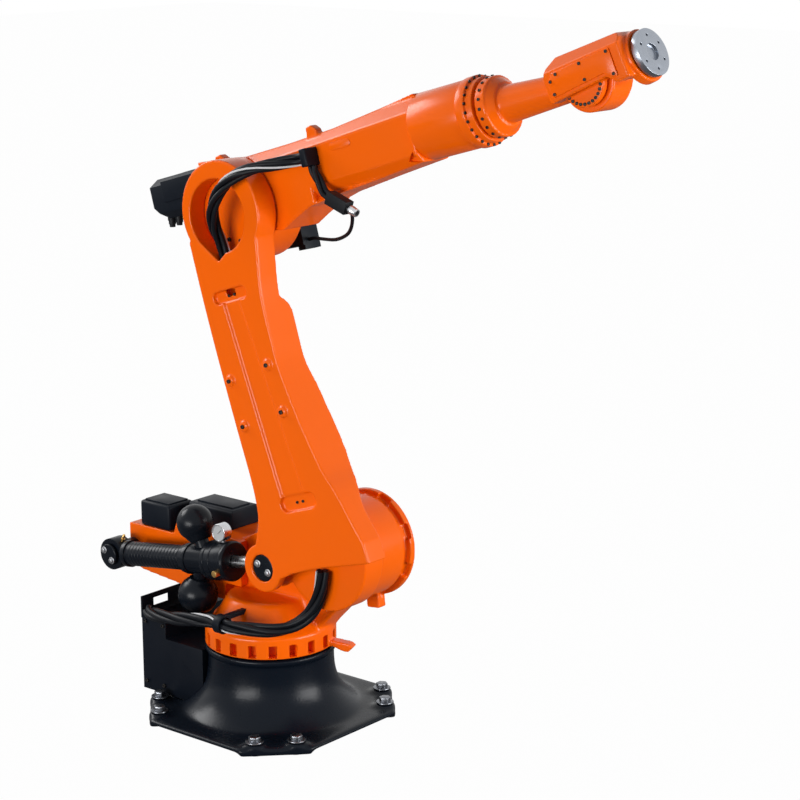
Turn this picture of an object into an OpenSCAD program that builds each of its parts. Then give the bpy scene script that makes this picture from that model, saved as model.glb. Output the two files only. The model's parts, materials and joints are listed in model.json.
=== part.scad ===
/* [Axes] */
// Shoulder axis ahead of the turning axis
shoulder_x = 330; // [310:1:350]
// Shoulder axis above the floor
shoulder_z = 630; // [615:1:665]
// Shoulder axis to elbow axis
link_len = 1150; // [1050:5:1250]
// Elbow axis to wrist bend axis, along the arm
arm_len = 1420; // [1350:5:1500]
// Roll axis above the elbow axis
elbow_rise = 105; // [98:1:112]
// Wrist bend axis to the face of the tool flange
hand_len = 207; // [200:1:230]
// Lean of the link arm behind the vertical, degrees
lean = 18; // [10:0.5:24]
// Rise of the arm above the level, degrees
arm_rise = 15.8; // [5:0.1:25]
// Rise of the hand above the arm, degrees
hand_rise = 9.5; // [0:0.1:15]

/* [Fits] */
// Radial clearance of a bearing journal in its bore
journal_gap = 0.3; // [0.2:0.1:0.5]
// Space between two faces that turn past each other
run_gap = 6; // [5:0.5:8]

/* [Base] */
// Height of the base casting
base_h = 253; // [240:1:270]
// Radius of the bell under its rim
bell_top_r = 212; // [205:1:220]
// Radius of the bell where it meets the foot plate
bell_foot_r = 304; // [290:1:320]
// Radius of the rim at the top of the base
rim_r = 222; // [216:1:228]
// Height of the rim
rim_h = 22; // [15:1:30]
// Thickness of the foot plate
plate_h = 28; // [22:1:34]
// Lift of the foot plate between the feet
sole_h = 10; // [6:1:14]
// Height of the pads at the four feet
pad_h = 40; // [36:1:46]
// Reach of each foot from the turning axis
foot_reach = 413; // [400:1:430]
// Half the width of a foot
foot_half = 117; // [110:1:125]
// Floor bolts, distance out along the foot
bolt_out = 379; // [370:1:386]
// Floor bolts, distance to either side of the foot's middle
bolt_side = 68; // [60:1:76]
// Radius of the floor bolt holes
bolt_r = 13; // [11:0.5:15]
// Radius of the turning spigot
spigot_r = 165; // [155:1:175]
// Height of the turning spigot
spigot_h = 48; // [40:1:55]
// Rear face of the connection box
box_x = -440; // [-455:1:-425]
// Half the width of the connection box
box_half = 178; // [165:1:190]
// Underside of the connection box
box_z = 32; // [28:1:40]
// Top of the connection box above the base casting
box_rise = 44; // [36:1:48]
// Front face of the tall part of the connection box
box_front = -326; // [-340:1:-320]
// Sheet thickness of the cable tray
tray_t = 6; // [4:1:8]

/* [Column] */
// Radius of the slotted skirt
skirt_r = 221; // [216:1:226]
// Height of the slotted skirt
skirt_h = 72; // [66:1:80]
// Number of slots round the skirt
slot_count = 20; // [16:1:22]
// Width of a skirt slot
slot_w = 26; // [18:1:30]
// Height of a skirt slot
slot_h = 38; // [30:1:41]
// Radius of the shoulder housing
shoulder_r = 168; // [160:1:172]
// Radius of the shoulder's far ring
far_ring_r = 180; // [176:1:190]
// Far face of the shoulder housing
shoulder_far = 152; // [145:1:160]
// Radius of the shoulder journal
shoulder_pin_r = 95; // [85:1:100]
// Length of the shoulder journal
shoulder_pin_l = 56; // [48:1:60]
// Rear end of the motor carrier
carrier_x = -640; // [-660:1:-630]
// Near face of the motor carrier
carrier_near = -36; // [-44:1:-30]
// Far face of the motor carrier
carrier_far = 190; // [170:1:200]
// Top of the motor carrier
carrier_top = 557; // [545:1:570]

/* [Counterbalance] */
// Rear pivot behind the turning axis
pivot_x = -617; // [-625:1:-605]
// Rear pivot above the floor
pivot_z = 470; // [460:1:480]
// Radius of the rear eye
eye_r = 55; // [50:1:60]
// Width of the rear eye
eye_w = 56; // [48:1:60]
// Radius of the rear pivot pin
pivot_pin_r = 22; // [18:1:26]
// Radius of the cylinder tube
tube_r = 42; // [38:1:46]
// Length from the rear pivot to the manifold
tube_l = 352; // [340:1:365]
// Length of the manifold
manifold_l = 118; // [110:1:126]
// Radius of the manifold
manifold_r = 50; // [47:1:54]
// Radius of the rod gland
gland_r = 66; // [60:1:68]
// Length of the rod gland
gland_l = 108; // [95:1:115]
// Radius of the upper gas accumulator
ball_r = 62; // [56:1:65]
// Radius of the lower gas accumulator
low_ball_r = 68; // [62:1:70]
// Middle of an accumulator from the cylinder axis
ball_out = 125; // [120:1:128]
// Radius of the rod
rod_r = 20; // [16:1:24]
// Radius of the rod eye
rod_eye_r = 44; // [40:1:45]
// Stroke of the rod, inwards from this pose
stroke_in = 72; // [70:1:80]
// Stroke of the rod, outwards from this pose
stroke_out = 214; // [212:1:220]

/* [Link arm] */
// Near face of the link arm
link_near = -175; // [-178:0.5:-172]
// Thickness of the link arm at the elbow
link_top_t = 85; // [80:0.5:86]
// Thickness of the link arm at its belly
link_belly_t = 145; // [135:0.5:148]
// Thickness of the link arm between its belly and the elbow
link_mid_t = 128; // [120:0.5:129]
// Thickness of the wall in front of the counterbalance rod
lug_t = 30; // [26:0.5:31]
// Outer radius of the elbow ring
ring_r = 170; // [166:1:176]
// Radius of the elbow opening
opening_r = 120; // [114:1:124]
// Radius of the shoulder hub
hub_r = 178; // [172:1:184]
// Counterbalance pin behind the shoulder, across the arm
lug_v = 205; // [200:1:210]
// Counterbalance pin beside the shoulder, along the arm
lug_u = 8; // [0:1:16]
// Radius of the lug round the counterbalance pin
lug_r = 80; // [74:1:84]
// Radius of the pin cap
cap_r = 45; // [40:1:50]

/* [Arm] */
// Chamfer along the arm housing
arm_chamfer = 46; // [36:1:52]
// Radius of the elbow hub
elbow_r = 164; // [158:1:168]
// Radius of the elbow spigot
elbow_pin_r = 150; // [146:1:154]
// Depth of the elbow spigot
elbow_pin_l = 22; // [16:1:26]
// Far face of the elbow hub
elbow_far = 96; // [90:1:104]
// Seam between the housing and the extension
seam_s = 780; // [760:1:800]
// Front end of the extension
ext_end = 975; // [960:1:985]
// Radius of the extension
ext_r = 104; // [100:1:105]
// Radius of the bolted ring on the extension
ext_ring_r = 108; // [105:1:114]
// Length of the bolted ring on the extension
ext_ring_l = 33; // [28:1:38]
// Length of the neck in front of the bolted ring
ext_neck_l = 24; // [20:1:28]
// Rear face of the arm, where the wrist motors sit
motor_face = -141; // [-150:1:-130]

/* [Wrist] */
// Radius of the roll flange
roll_ring_r = 92; // [86:1:96]
// Radius of the roll journal
roll_pin_r = 60; // [54:1:66]
// Length of the roll journal
roll_pin_l = 60; // [50:1:70]
// Tube radius behind the hand
tube_end_r = 42; // [40:0.5:44]
// Tube radius at the roll flange
tube_root_r = 57; // [54:0.5:60]
// Radius of the knuckle
knuckle_r = 90; // [84:1:94]
// Half the width of the knuckle
knuckle_half = 47; // [45:0.5:49]
// Radius of the wrist bend journal
bend_pin_r = 40; // [34:1:46]
// Half the width of the hand
hand_half = 96; // [92:1:100]
// Height of the hand above its axis
hand_top = 100; // [94:1:104]
// Radius of the tool flange
flange_r = 70; // [66:1:72]
// Thickness of the tool flange
flange_t = 20; // [18:1:24]
// Bolt circle of the tool flange
flange_pcd = 100; // [94:1:106]
// Radius of the tool flange bolt holes
flange_bolt_r = 4.25; // [3.5:0.25:5]
// Radius of the tool flange centre bore
flange_bore_r = 25; // [20:0.5:28]

/* [Hidden] */
$fn = 96;
orange = "#f26a0a";
black = "#1c1f24";
eps = 0.01;
skirt_z = base_h + run_gap;
skirt_top = skirt_z + skirt_h;
box_top = base_h + box_rise;
box_ledge = base_h - 22;
tray_top = box_top + 76;
dome_z = skirt_top + 30;
dome_top = skirt_top + 94;
carrier_low = skirt_top + 64;
hub_far = -run_gap;
hub_near = link_near + link_top_t - 4;
link_far = link_near + link_top_t;
elbow_near = link_far + run_gap;
link_mid_far = link_near + link_mid_t;
motor_near = link_mid_far + run_gap;
cheek_in = knuckle_half + run_gap;
arm_half = -elbow_near;
lug_far = link_near + lug_t;
balance_y = (lug_far + hub_near) / 2;
rod_eye_w = hub_near - lug_far - 2 * run_gap;
elbow_at = [shoulder_x - link_len * sin(lean), 0, shoulder_z + link_len * cos(lean)];
pin_at = [shoulder_x - lug_v * cos(lean) - lug_u * sin(lean), 0,
          shoulder_z - lug_v * sin(lean) + lug_u * cos(lean)];
balance_l = norm([pin_at[0] - pivot_x, pin_at[2] - pivot_z]);
balance_rise = atan2(pin_at[2] - pivot_z, pin_at[0] - pivot_x);
gland_s = tube_l + manifold_l;
gland_end = gland_s + gland_l;
rod_guide = 30;
rod_tail = gland_end - stroke_out - rod_guide;
rod_bore_s = rod_tail - stroke_in - run_gap;

// Centre lines of the cables: the base and column ones from the top of the skirt, the others from the elbow
clamp_at = [22, -254, skirt_top + 51];
clamp_w = 28;
cable_end = clamp_w / 2 + 0.4;
base_route = [[-372, -205, skirt_top - 1], [-330, -232, skirt_top + 6], [-260, -252, skirt_top + 16],
              [-170, -262, skirt_top + 30], [-80, -261, skirt_top + 44], clamp_at - [50, 0, 0],
              clamp_at - [cable_end, 0, 0]];
column_route = [clamp_at + [cable_end, 0, 0], clamp_at + [50, 0, 0], [182, -206, skirt_top + 50],
                [240, -160, skirt_top + 62], [288, -130, skirt_top + 100], [322, balance_y, skirt_top + 154],
                [342, balance_y, skirt_top + 210], [348, balance_y, skirt_top + 264]];
elbow_route = [for (p = [[23, -140, -231], [11, -140, -195], [-2, -142, -151], [-15, -154, -99],
                         [-20, -176, -47], [-5, -200, 9], [31, -212, 67], [91, -216, 119], [165, -204, 157],
                         [237, -160, 175], [287, -124, 188], [321, -120, 198]]) elbow_at + p];
strip_route = [[379, -108, 72], [379, -108, 54], [387, -107, 25], [395, -106, -2], [403, -106, -18],
               [418, -106, -29.3]];
lead_route = [[440, -86.7, -50], [440, -75, -50], [434, -48, -62], [418, -22, -86], [394, 0, -114], [362, 18, -140],
              [320, 36, -155], [246, 66, -159], [162, 102, -147], [94, 134, -136], [63.2, 140, -135]];

// Curve through a list of points
function between(a, b, c, d, t) =
    0.5 * (2 * b + (c - a) * t + (2 * a - 5 * b + 4 * c - d) * t * t
           + (3 * b - a - 3 * c + d) * t * t * t);
function curve(p, n) =
    [for (i = [0 : len(p) - 2], k = [0 : n - 1])
        between(p[max(i - 1, 0)], p[i], p[i + 1], p[min(i + 2, len(p) - 1)], k / n),
     p[len(p) - 1]];

// Round cable along a route
function unit(v) = v / norm(v);
function way(p, i) = unit(p[min(i + 1, len(p) - 1)] - p[max(i - 1, 0)]);
function side(d) = unit(cross(d, abs(d[1]) < 0.9 ? [0, 1, 0] : [1, 0, 0]));
function hoop(p, i, r, n) =
    let (d = way(p, i), a = side(d), b = cross(d, a))
    [for (k = [0 : n - 1]) p[i] + r * cos(360 * k / n) * a + r * sin(360 * k / n) * b];
module cable(route, r, steps = 2, n = 10) {
    p = curve(route, steps);
    last = (len(p) - 1) * n;
    points = [for (i = [0 : len(p) - 1]) each hoop(p, i, r, n)];
    walls = [for (i = [0 : len(p) - 2], k = [0 : n - 1])
        [i * n + k, (i + 1) * n + k, (i + 1) * n + (k + 1) % n, i * n + (k + 1) % n]];
    start = [for (k = [0 : n - 1]) k];
    end = [for (k = [0 : n - 1]) last + n - 1 - k];
    polyhedron(points, concat(walls, [start, end]));
}

// Flat outline in the X-Z plane, thickened from y0 to y1
module slab(y0, y1) {
    translate([0, y1, 0]) rotate([90, 0, 0]) linear_extrude(y1 - y0) children();
}
// Round bar along Y
module bar_y(x, z, r, y0, y1) {
    translate([x, y1, z]) rotate([90, 0, 0]) cylinder(r = r, h = y1 - y0);
}
// Round bar along X
module bar_x(y, z, r, x0, x1) {
    translate([x0, y, z]) rotate([0, 90, 0]) cylinder(r = r, h = x1 - x0);
}
module cone_x(r0, r1, x0, x1) {
    translate([x0, 0, 0]) rotate([0, 90, 0]) cylinder(r1 = r0, r2 = r1, h = x1 - x0);
}
module block(a, b) {
    translate(a) cube(b - a);
}

// Frames of the moving pieces: Z runs up the link arm, X runs out along the arm and the hand
module at_shoulder() {
    translate([shoulder_x, 0, shoulder_z]) rotate([0, -lean, 0]) children();
}
module at_elbow() {
    translate(elbow_at) rotate([0, -arm_rise, 0]) children();
}
module at_roll() {
    at_elbow() translate([0, 0, elbow_rise]) children();
}
module at_hand() {
    at_roll() translate([arm_len, 0, 0]) rotate([0, -hand_rise, 0]) children();
}
module at_balance() {
    translate([pivot_x, balance_y, pivot_z]) rotate([0, -balance_rise, 0]) children();
}

// Base
notch_in = 26;
notch_side = 30;
bell_steps = 9;
bell_flare = 3.2;
bolt_pad_r = 36;
sole_in = bolt_out - 50;
function foot_point(k, out, across) =
    let (a = 45 + 90 * k) [out * cos(a) - across * sin(a), out * sin(a) + across * cos(a)];
module foot_outline() {
    polygon([for (k = [0 : 3]) each [
        foot_point(k, foot_reach - notch_in, -foot_half - notch_side),
        foot_point(k, foot_reach, -foot_half),
        foot_point(k, foot_reach, foot_half),
        foot_point(k, foot_reach - notch_in, foot_half + notch_side)]]);
}
module foot_sole(k) {
    polygon([foot_point(k, sole_in, -foot_half), foot_point(k, foot_reach, -foot_half),
             foot_point(k, foot_reach, foot_half), foot_point(k, sole_in, foot_half)]);
}
module bell(grow = 0) {
    neck_z = base_h - rim_h;
    rotate_extrude() polygon(concat([[0, 0], [bell_foot_r + grow, 0]],
        [for (i = [0 : bell_steps])
            let (t = i / bell_steps, z = plate_h + (neck_z - plate_h) * t)
            [bell_top_r + (bell_foot_r - bell_top_r) * pow(1 - t, bell_flare) + grow, z]],
        [[rim_r + grow, neck_z + 4], [rim_r + grow, base_h], [spigot_r, base_h],
         [spigot_r, base_h + spigot_h], [0, base_h + spigot_h]]));
}
module base_casting() {
    color(black) difference() {
        union() {
            translate([0, 0, sole_h]) linear_extrude(plate_h - sole_h) foot_outline();
            for (k = [0 : 3]) linear_extrude(plate_h) foot_sole(k);
            bell();
            for (k = [0 : 3], s = [-1, 1])
                translate(foot_point(k, bolt_out, s * bolt_side)) cylinder(r = bolt_pad_r, h = pad_h);
        }
        for (k = [0 : 3], s = [-1, 1])
            translate([0, 0, -1]) translate(foot_point(k, bolt_out, s * bolt_side))
                cylinder(r = bolt_r, h = pad_h + 2);
    }
}

box_inner = -150;
module base_connection_box() {
    color(black) difference() {
        union() {
            block([box_x, -box_half, box_z], [box_front, box_half, box_top]);
            block([box_front - 1, -box_half, box_z], [box_inner, box_half, box_ledge]);
        }
        bell(journal_gap);
    }
}
tray_front = -322;
tray_slot_w = 70;
tray_lip = 26;
tray_rear = box_x + 24;
module base_cable_tray() {
    y0 = -box_half - tray_lip;
    y1 = box_half - 40;
    color(black) translate([tray_rear, 0, box_top]) difference() {
        union() {
            block([0, y0, 0], [tray_front - tray_rear, y1, tray_t]);
            block([0, y0, 0], [tray_t, y1, tray_top - box_top]);
            block([0, y0, 0], [46, y0 + tray_t, 30]);
        }
        block([-1, -box_half + 30, 30], [tray_t + 1, -box_half + 30 + tray_slot_w, 58]);
    }
}
cable_r = 24;
module base_cable_bundle() {
    color(black) cable(base_route, cable_r);
}

// Column
dome_r = 178;
dome_top_r = 140;
module skirt() {
    difference() {
        translate([0, 0, skirt_z]) cylinder(r = skirt_r, h = skirt_h);
        for (k = [0 : slot_count - 1])
            rotate([0, 0, 360 * (k + 0.5) / slot_count])
                translate([skirt_r - 14, -slot_w / 2, skirt_z + 8]) cube([30, slot_w, slot_h]);
    }
}
stop_azimuth = 20;
stop_reach = 302;
module stop_finger() {
    rotate([0, 0, stop_azimuth]) slab(-20, 20)
        polygon([[skirt_r - 20, skirt_z + 4], [skirt_r + 14, skirt_z + 2], [skirt_r + 40, skirt_z - 9],
                 [stop_reach - 16, skirt_z - 12], [stop_reach, skirt_z + 6],
                 [stop_reach - 14, skirt_z + 16], [skirt_r - 20, skirt_z + 26]]);
}
tower_rear = -176;
module tower_outline() {
    polygon([[tower_rear, skirt_top - 10], [skirt_r - 25, skirt_top - 10], [shoulder_x - 40, skirt_top + 84],
             [shoulder_x, shoulder_z - shoulder_r], [shoulder_x, shoulder_z + shoulder_r],
             [shoulder_x - 120, shoulder_z + 118], [40, shoulder_z + 45], [-120, shoulder_z - 45],
             [tower_rear, shoulder_z - 145]]);
    translate([shoulder_x, shoulder_z]) circle(r = shoulder_r);
}
module dome() {
    translate([0, 0, skirt_top - 1]) cylinder(r1 = skirt_r, r2 = dome_r, h = dome_z - skirt_top + 1);
    translate([0, 0, dome_z - eps]) cylinder(r1 = dome_r, r2 = dome_top_r, h = dome_top - dome_z + eps);
}
// Room for the lower accumulator, which sinks as the link arm leans back
ball_drop = 36;
module ball_scoop() {
    at_balance() translate([low_ball_s, 0, -ball_out - ball_drop]) {
        sphere(r = low_ball_r + run_gap);
        cylinder(r = low_ball_r + run_gap, h = ball_out + ball_drop);
    }
}
module column_casting() {
    color(orange) difference() {
        union() {
            skirt();
            dome();
            slab(0, shoulder_far - 40) tower_outline();
            bar_y(shoulder_x, shoulder_z, shoulder_pin_r, -shoulder_pin_l - run_gap, 1);
            stop_finger();
        }
        translate([0, 0, skirt_z - 1]) cylinder(r = spigot_r + journal_gap, h = spigot_h + 1);
        ball_scoop();
    }
}
ring_cuts = 8;
ring_lug_turn = -83;
module shoulder_far_ring() {
    y0 = shoulder_far - 40;
    color(orange) difference() {
        union() {
            bar_y(shoulder_x, shoulder_z, far_ring_r, y0 + 16, shoulder_far);
            bar_y(shoulder_x, shoulder_z, far_ring_r - 20, y0, y0 + 17);
            slab(y0 + 4, shoulder_far) translate([shoulder_x, shoulder_z]) rotate(ring_lug_turn)
                translate([far_ring_r - 14, -26]) square([54, 52]);
        }
        for (k = [0 : ring_cuts - 1])
            translate([shoulder_x, 0, shoulder_z]) rotate([0, 22.5 + 45 * k, 0])
                block([far_ring_r - 20, y0 + 15, -26], [far_ring_r + 10, y0 + 28, 26]);
    }
}
seat_x = -408;
seat_h = 40;
module carrier_outline() {
    polygon([[carrier_x, carrier_top], [carrier_x, pivot_z - eye_r], [carrier_x + 60, carrier_low],
             [-300, skirt_top + 39], [tower_rear + 6, skirt_top + 34], [-100, skirt_top + 34],
             [-100, shoulder_z - 45], [-190, carrier_top + seat_h], [seat_x, carrier_top + seat_h],
             [seat_x - 14, carrier_top]]);
}
module motor_carrier() {
    color(orange) difference() {
        slab(carrier_near, carrier_far) carrier_outline();
        cylinder(r = dome_r + 1, h = dome_top);
        slab(-eps, shoulder_far - 40 + eps) tower_outline();
        ball_scoop();
        bar_y(pivot_x, pivot_z, pivot_pin_r, carrier_near - 1, carrier_near + 60);
    }
}
a1_motor_w = 146;
a1_motor_d = 118;
a1_motor_h = 90;
a1_motor_x = -587;
a1_motor_y = -34;
module a1_motor() {
    y1 = a1_motor_y + a1_motor_d;
    color(black) translate([a1_motor_x, 0, carrier_top]) {
        block([0, a1_motor_y, 0], [a1_motor_w, y1, a1_motor_h]);
        block([20, y1 - 1, 0], [a1_motor_w - 26, y1 + 70, a1_motor_h - 30]);
    }
}
a2_motor_x = seat_x + 8;
a2_motor_l = 208;
a2_motor_y = 86;
a2_motor_r = 80;
a2_motor_half = 66;
a2_motor_h = 66;
module a2_motor() {
    color(black) translate([a2_motor_x, a2_motor_y, carrier_top + seat_h]) intersection() {
        bar_x(0, 12, a2_motor_r, 0, a2_motor_l);
        block([0, -a2_motor_half, 0], [a2_motor_l, a2_motor_half, a2_motor_h]);
    }
}
module counterbalance_pivot() {
    y0 = balance_y - eye_w / 2 - 16;
    color(black) {
        bar_y(pivot_x, pivot_z, pivot_pin_r - journal_gap / 2, y0 + 8, carrier_near + 60);
        bar_y(pivot_x, pivot_z, pivot_pin_r + 16, y0, y0 + 12);
        bar_y(pivot_x, pivot_z, pivot_pin_r + 14, balance_y + eye_w / 2 + 4, carrier_near);
    }
}
module column_cable_clamp() {
    c = clamp_at;
    color(black) difference() {
        union() {
            bar_x(c[1], c[2], cable_r + 8, c[0] - clamp_w / 2, c[0] + clamp_w / 2);
            block([c[0] - 9, c[1] + 20, c[2] + 10], [c[0] + 9, -100, c[2] + 26]);
        }
        bar_x(c[1], c[2], cable_r + journal_gap, c[0] - clamp_w, c[0] + clamp_w);
        dome();
    }
}
module column_cable_bundle() {
    color(black) cable(column_route, cable_r);
}

// Counterbalance
module counterbalance_cylinder() {
    color(black) at_balance() difference() {
        union() {
            bar_y(0, 0, eye_r, -eye_w / 2, eye_w / 2);
            bar_x(0, 0, eye_w / 2 - 2, eye_r - 20, eye_r + 10);
            bar_x(0, 0, tube_r, eye_r + 6, tube_l);
            bar_x(0, 0, tube_r + 5, eye_r + 6, eye_r + 24);
        }
        bar_y(0, 0, pivot_pin_r + journal_gap, -eye_w, eye_w);
        rod_bore();
    }
}
module rod_bore() {
    bar_x(0, 0, rod_r + journal_gap, rod_bore_s, gland_end + 1);
}
module counterbalance_manifold() {
    color(black) at_balance() difference() {
        union() {
            bar_x(0, 0, manifold_r, tube_l, gland_s);
            bar_x(0, 0, manifold_r + 4, tube_l + 16, tube_l + 32);
            lean_back(ball_s, true) cylinder(r = neck_r, h = neck_end);
            lean_back(low_ball_s, false) cylinder(r = neck_r, h = neck_end);
        }
        rod_bore();
    }
}
ball_s = tube_l + 58;
low_ball_s = tube_l + 30;
ball_lean = 18;
ball_reach = ball_out / cos(ball_lean);
neck_r = 24;
neck_end = manifold_r + 18;
module lean_back(s, up) {
    mirror([0, 0, up ? 0 : 1]) translate([s + ball_out * tan(ball_lean), 0, 0]) rotate([0, -ball_lean, 0]) children();
}
module accumulator(s, r, up) {
    dip = 20;
    waist = sqrt(r * r - dip * dip);
    at_balance() lean_back(s, up) difference() {
        union() {
            translate([0, 0, ball_reach]) sphere(r = r);
            translate([0, 0, neck_end]) cylinder(r1 = neck_r + 10, r2 = waist, h = ball_reach - dip - neck_end);
        }
        block([-r, -r, -r], [r, r, neck_end]);
    }
}
module upper_accumulator() {
    color(black) accumulator(ball_s, ball_r, true);
}
module lower_accumulator() {
    color(black) accumulator(low_ball_s, low_ball_r, false);
}
module counterbalance_gland() {
    color(black) at_balance() difference() {
        bar_x(0, 0, gland_r, gland_s, gland_end);
        rod_bore();
    }
}
dial_r = 30;
module pressure_gauge() {
    s0 = gland_s + 66;
    color("silver") at_balance() difference() {
        union() {
            translate([s0, 0, gland_r - 4]) cylinder(r = 9, h = dial_r);
            bar_y(s0, gland_r + dial_r + 3, dial_r, -18, 14);
        }
        bar_x(0, 0, gland_r, gland_s, gland_end);
    }
}
module fill_valve() {
    color("gold") at_balance() difference() {
        bar_y(gland_s + 84, -26, 11, -gland_r - 14, -gland_r / 2);
        bar_x(0, 0, gland_r, gland_s, gland_end);
    }
}
module counterbalance_rod() {
    color("silver") at_balance() difference() {
        union() {
            bar_x(0, 0, rod_r, rod_tail, balance_l - rod_eye_r + 6);
            bar_y(balance_l, 0, rod_eye_r, -rod_eye_w / 2, rod_eye_w / 2);
        }
        bar_y(balance_l, 0, cap_r - 20, -rod_eye_w, rod_eye_w);
    }
}

// Link arm
module link_outline() {
    front = curve([[ring_r - 26, link_len - 60], [114, link_len - 180], [92, link_len - 290],
                   [88, 720], [92, 620], [120, 461], [162, 294], [200, 208], [234, 112], [262, 34]], 4);
    rear = curve([[-lug_v - 8, lug_u + lug_r - 6], [-180, 140], [-162, 200], [-157, 300], [-163, 460],
                  [-169, 680], [-171, 880], [-ring_r + 2, link_len - 60]], 4);
    polygon(concat(front, [[266, -34], [40, -22], [-80, -26], [-150, -40], [-lug_v, lug_u - lug_r]],
                   rear, [[-60, link_len], [60, link_len]]));
    translate([0, link_len]) circle(r = ring_r);
    translate([-lug_v, lug_u]) circle(r = lug_r);
}
module link_depth() {
    polygon(concat([[link_near, -200], [link_far, -200], [link_far, 130]],
        curve([[link_far + 10, 170], [link_near + link_belly_t, 320], [link_near + link_belly_t, 520],
               [link_mid_far, 640], [link_mid_far, 800], [link_far, 850]], 4),
        [[link_far, link_len + 300], [link_near, link_len + 300]]));
}
pocket_depth = 12;
opening_v = -16;
module link_pocket(v, u, l, h) {
    slab(link_near - 1, link_near + pocket_depth) {
        translate([v - l / 2 + h / 2, u - h / 2]) square([l - h, h]);
        for (k = [-1, 1]) translate([v + k * (l - h) / 2, u]) circle(d = h);
    }
}
module link_arm_casting() {
    color(orange) at_shoulder() difference() {
        union() {
            intersection() {
                slab(link_near, 0) link_outline();
                translate([-500, 0, 0]) rotate([90, 0, 90]) linear_extrude(1000) link_depth();
            }
            bar_y(0, 0, hub_r, hub_near, hub_far);
            for (b = [[-134, 624], [-123, 471], [47, 645], [62, 489]])
                bar_y(b[0], b[1], 17, link_near - 8, link_near + 4);
        }
        bar_y(0, 0, shoulder_pin_r + journal_gap, -shoulder_pin_l - run_gap - 6, 1);
        slab(link_near - 1, 1) {
            translate([opening_v, link_len - 6]) circle(r = opening_r);
            translate([opening_v, link_len]) polygon([[-opening_r * 0.9, -64], [-42, -146],
                                                      [opening_r * 0.86, -72], [0, 0]]);
        }
        bar_y(0, link_len, elbow_pin_r + journal_gap, elbow_near - elbow_pin_l - 2, 1);
        translate([-49, -140, link_len - 260]) cylinder(r = cable_r + 3, h = 170);
        block([-400, link_near + lug_t, -110], [-62, hub_near - eps, 176]);
        block([-63, link_near + lug_t, -110], [112, hub_near - eps, 118]);
        bar_y(-lug_v, lug_u, cap_r + journal_gap, link_near - 1, link_near + lug_t + 1);
        link_pocket(-45, 890, 150, 40);
        link_pocket(28, 197, 156, 52);
        slab(link_near - 1, link_near + 7)
            polygon([[-40, 222], [62, 222], [-12, 871], [-82, 871]]);
    }
}
module counterbalance_pin_cap() {
    color(black) at_shoulder() bar_y(-lug_v, lug_u, cap_r, link_near + 4, link_near + lug_t - 2);
}
module elbow_cable_bundle() {
    color(black) cable(elbow_route, cable_r - 2);
}

// Arm
module arm_outline() {
    polygon([[motor_face, 0], [motor_face, 184], [-60, 174], [20, 164], [250, 166], [440, 174],
             [seam_s, elbow_rise + ext_r], [seam_s, elbow_rise - ext_r], [400, -30], [300, -46], [228, -72],
             [172, -96], [-100, -60]]);
}
module arm_edges() {
    for (s = [-1, 1]) {
        translate([0, s * arm_half, 165]) rotate([0, -2.6, 0]) rotate([s * 45, 0, 0])
            block([motor_face + 40, -arm_chamfer * 0.71, -arm_chamfer * 0.71],
                  [seam_s + 40, arm_chamfer * 0.71, arm_chamfer * 0.71]);
        translate([0, s * arm_half, -28]) rotate([0, -1.6, 0]) rotate([s * 45, 0, 0])
            block([330, -arm_chamfer * 0.5, -arm_chamfer * 0.5], [seam_s + 40, arm_chamfer * 0.5, arm_chamfer * 0.5]);
    }
}
module lifting_lug(s, t) {
    translate([s, 0, t]) slab(-58, -28) polygon([[-22, -14], [-16, 26], [6, 30], [24, 14], [28, -14]]);
}
module arm_housing() {
    color(orange) at_elbow() difference() {
        union() {
            difference() {
                slab(-arm_half, arm_half) arm_outline();
                arm_edges();
            }
            lifting_lug(351, 172);
            lifting_lug(-67, 162);
        }
        hub_body();
        bar_y(0, 0, elbow_r, elbow_near - 1, elbow_near + 1);
    }
}
hub_step_y = 36;
hub_end_r = 122;
module hub_body() {
    bar_y(0, 0, elbow_r, elbow_near, hub_step_y);
    translate([0, elbow_far, 0]) rotate([90, 0, 0])
        cylinder(r1 = hub_end_r, r2 = elbow_r, h = elbow_far - hub_step_y + eps);
}
module elbow_hub() {
    color(orange) at_elbow() {
        hub_body();
        bar_y(0, 0, elbow_pin_r, elbow_near - elbow_pin_l, elbow_near + 1);
    }
}
module arm_extension() {
    color(orange) at_roll() difference() {
        bar_x(0, 0, ext_r, seam_s, ext_end);
        bar_x(0, 0, roll_pin_r + journal_gap, ext_end - roll_pin_l, ext_end + 1);
    }
}
ext_neck_r = ext_ring_r - 9;
module extension_ring() {
    color(orange) at_roll() difference() {
        union() {
            bar_x(0, 0, ext_ring_r, ext_end, ext_end + ext_ring_l);
            bar_x(0, 0, ext_neck_r, ext_end + 1, roll_s);
        }
        bar_x(0, 0, roll_pin_r + journal_gap, ext_end - 1, roll_s + 1);
    }
}
a3_motor_r = 66;
a3_motor_l = 130;
a3_plug_s = 62;
module a3_motor() {
    color(black) at_elbow() {
        bar_y(-55, -20, a3_motor_r, elbow_far, elbow_far + a3_motor_l);
        block([-40, elbow_far + 14, -150], [a3_plug_s, elbow_far + 94, -60]);
        block([30, elbow_far + 20, -165], [a3_plug_s, elbow_far + 94, -105]);
    }
}
module wrist_motor(y, t, w, h, l) {
    c = 22;
    translate([motor_face, y, t]) intersection() {
        slab(-w / 2, w / 2) polygon([[0, -h / 2], [0, h / 2], [-l + c, h / 2], [-l, h / 2 - c],
                                     [-l, -h / 2 + 2 * c], [-l + 2 * c, -h / 2]]);
        translate([-l, 0, 0]) rotate([90, 0, 90]) linear_extrude(l)
            polygon([[-w / 2, -h / 2 + c], [-w / 2 + c, -h / 2], [w / 2 - c, -h / 2], [w / 2, -h / 2 + c],
                     [w / 2, h / 2 - c], [w / 2 - c, h / 2], [-w / 2 + c, h / 2], [-w / 2, h / 2 - c]]);
    }
}
wrist_motor_w = 84;
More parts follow.
